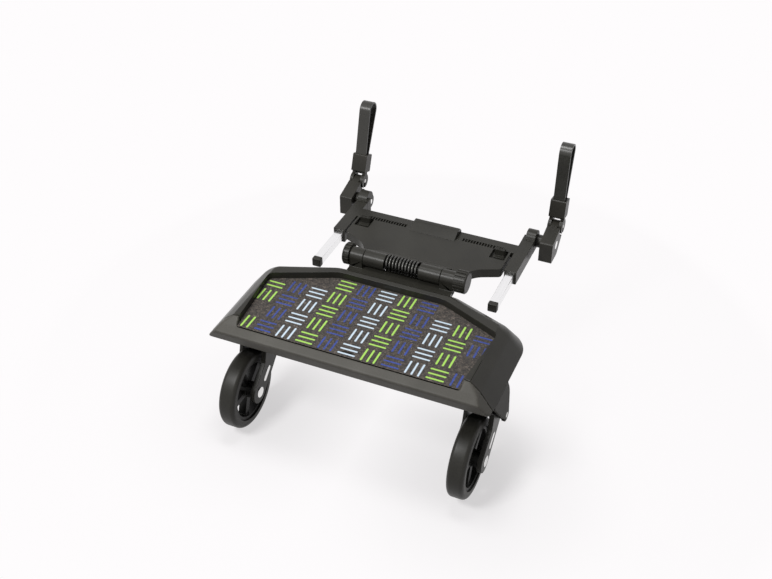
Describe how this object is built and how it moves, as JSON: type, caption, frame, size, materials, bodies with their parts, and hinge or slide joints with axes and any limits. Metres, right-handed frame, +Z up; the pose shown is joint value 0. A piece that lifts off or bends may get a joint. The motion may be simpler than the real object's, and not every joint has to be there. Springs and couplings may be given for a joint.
{
  "type": "buggy board",
  "caption": "Ride-on platform with sprung wheels that straps behind a pram, with a folding hinge, side arms on a toothed rack, sliding rods and turning connectors.",
  "frame": {"origin": "on the floor under the wheels, at the middle of the object's box", "axes": "+X to the right of a child who stands on the platform and faces the pram, +Y towards the pram, +Z up"},
  "size_m": [0.408, 0.4956, 0.3238],
  "materials": {
    "tray_plastic": "fine grained moulded dark grey plastic",
    "nosing_plastic": "smooth lighter grey moulded strip",
    "grip_mat": null,
    "bracket_plastic": "fine grained moulded grey plastic",
    "fork_plastic": "fine grained moulded grey plastic",
    "tyre_rubber": "smooth dark grey tread",
    "rim_plastic": "black moulded plastic",
    "pale_plastic": "pale satin plastic",
    "steel": "turned steel",
    "spring_steel": "blackened spring steel",
    "buffer_rubber": "black rubber",
    "chassis_plastic": "fine grained moulded dark grey plastic",
    "knob_plastic": "ribbed black plastic",
    "rod_aluminium": "polished square tube",
    "cap_plastic": "moulded dark plastic",
    "connector_plastic": "fine grained moulded grey plastic",
    "strap_rubber": "flexible strap, toothed on its inner face"
  },
  "bodies": {
    "chassis": {"chassis_body": "chassis_plastic", "chassis_base": "chassis_plastic", "base_screws": "steel", "centre_cover": "chassis_plastic", "hinge_pin": "steel", "spring_core": "knob_plastic", "hinge_spring": "spring_steel"},
    "platform": {"platform_tray": "tray_plastic", "front_nosing": "nosing_plastic", "grip_mat": "grip_mat", "bracket_screws": "steel", "wheel_bracket_left": "bracket_plastic", "wheel_bracket_right": "bracket_plastic", "fork_pin_left": "steel", "fork_pin_right": "steel", "fork_buffer_left": "buffer_rubber", "fork_buffer_right": "buffer_rubber"},
    "fork_left": {"fork_left": "fork_plastic", "wheel_axle_left": "steel", "axle_caps_left": "pale_plastic", "leg_inlays_left": "pale_plastic"},
    "wheel_left": {"tyre_left": "tyre_rubber", "wheel_rim_left": "rim_plastic"},
    "knob_left": {"hinge_knob_left": "knob_plastic"},
    "arm_left": {"extension_arm_left": "chassis_plastic"},
    "slider_left": {"lock_slider_left": "knob_plastic"},
    "rod_left": {"reach_rod_left": "rod_aluminium", "rod_end_cap_left": "cap_plastic", "rod_head_left": "chassis_plastic", "pivot_bolt_left": "pale_plastic"},
    "connector_left": {"connector_left": "connector_plastic", "strap_pin_left": "steel"},
    "strap_left": {"buckle_left": "connector_plastic", "strap_left": "strap_rubber"},
    "fork_right": {"fork_right": "fork_plastic", "wheel_axle_right": "steel", "axle_caps_right": "pale_plastic", "leg_inlays_right": "pale_plastic"},
    "wheel_right": {"tyre_right": "tyre_rubber", "wheel_rim_right": "rim_plastic"},
    "knob_right": {"hinge_knob_right": "knob_plastic"},
    "arm_right": {"extension_arm_right": "chassis_plastic"},
    "slider_right": {"lock_slider_right": "knob_plastic"},
    "rod_right": {"reach_rod_right": "rod_aluminium", "rod_end_cap_right": "cap_plastic", "rod_head_right": "chassis_plastic", "pivot_bolt_right": "pale_plastic"},
    "connector_right": {"connector_right": "connector_plastic", "strap_pin_right": "steel"},
    "strap_right": {"buckle_right": "connector_plastic", "strap_right": "strap_rubber"}
  },
  "joints": [
    {"name": "platform_fold", "type": "hinge", "parent": "chassis", "child": "platform", "pos_m": [0, -0.01384, 0.205], "axis": [-1, 0, 0], "range_deg": [0, 90], "stiffness_Nm_per_rad": 0.4, "springref_deg": 90},
    {"name": "fork_swing_left", "type": "hinge", "parent": "platform", "child": "fork_left", "pos_m": [-0.1705, -0.13884, 0.102], "axis": [-1, 0, 0], "range_deg": [0, 6], "stiffness_Nm_per_rad": 150},
    {"name": "wheel_spin_left", "type": "hinge", "parent": "fork_left", "child": "wheel_left", "pos_m": [-0.1705, -0.18985, 0.058], "axis": [1, 0, 0], "continuous": true},
    {"name": "knob_turn_left", "type": "hinge", "parent": "chassis", "child": "knob_left", "pos_m": [-0.0828, -0.01384, 0.205], "axis": [1, 0, 0], "range_deg": [0, 90]},
    {"name": "arm_slide_left", "type": "slide", "parent": "chassis", "child": "arm_left", "axis": [-1, 0, 0], "range_m": [0, 0.044]},
    {"name": "lock_slide_left", "type": "slide", "parent": "chassis", "child": "slider_left", "axis": [0, 1, 0], "range_m": [0, 0.0032]},
    {"name": "rod_slide_left", "type": "slide", "parent": "arm_left", "child": "rod_left", "axis": [0, 1, 0], "range_m": [0, 0.07]},
    {"name": "connector_turn_left", "type": "hinge", "parent": "rod_left", "child": "connector_left", "pos_m": [-0.1655, 0.16606, 0.1765], "axis": [1, 0, 0], "range_deg": [-60, 60]},
    {"name": "strap_turn_left", "type": "hinge", "parent": "connector_left", "child": "strap_left", "pos_m": [-0.1655, 0.19506, 0.193], "axis": [1, 0, 0], "range_deg": [-55, 45]},
    {"name": "fork_swing_right", "type": "hinge", "parent": "platform", "child": "fork_right", "pos_m": [0.1705, -0.13884, 0.102], "axis": [-1, 0, 0], "range_deg": [0, 6], "stiffness_Nm_per_rad": 150},
    {"name": "wheel_spin_right", "type": "hinge", "parent": "fork_right", "child": "wheel_right", "pos_m": [0.1705, -0.18985, 0.058], "axis": [1, 0, 0], "continuous": true},
    {"name": "knob_turn_right", "type": "hinge", "parent": "chassis", "child": "knob_right", "pos_m": [0.0828, -0.01384, 0.205], "axis": [1, 0, 0], "range_deg": [0, 90]},
    {"name": "arm_slide_right", "type": "slide", "parent": "chassis", "child": "arm_right", "axis": [1, 0, 0], "range_m": [0, 0.044]},
    {"name": "lock_slide_right", "type": "slide", "parent": "chassis", "child": "slider_right", "axis": [0, 1, 0], "range_m": [0, 0.0032]},
    {"name": "rod_slide_right", "type": "slide", "parent": "arm_right", "child": "rod_right", "axis": [0, 1, 0], "range_m": [0, 0.07]},
    {"name": "connector_turn_right", "type": "hinge", "parent": "rod_right", "child": "connector_right", "pos_m": [0.1655, 0.16606, 0.1765], "axis": [1, 0, 0], "range_deg": [-60, 60]},
    {"name": "strap_turn_right", "type": "hinge", "parent": "connector_right", "child": "strap_right", "pos_m": [0.1655, 0.19506, 0.193], "axis": [1, 0, 0], "range_deg": [-55, 45]}
  ]
}
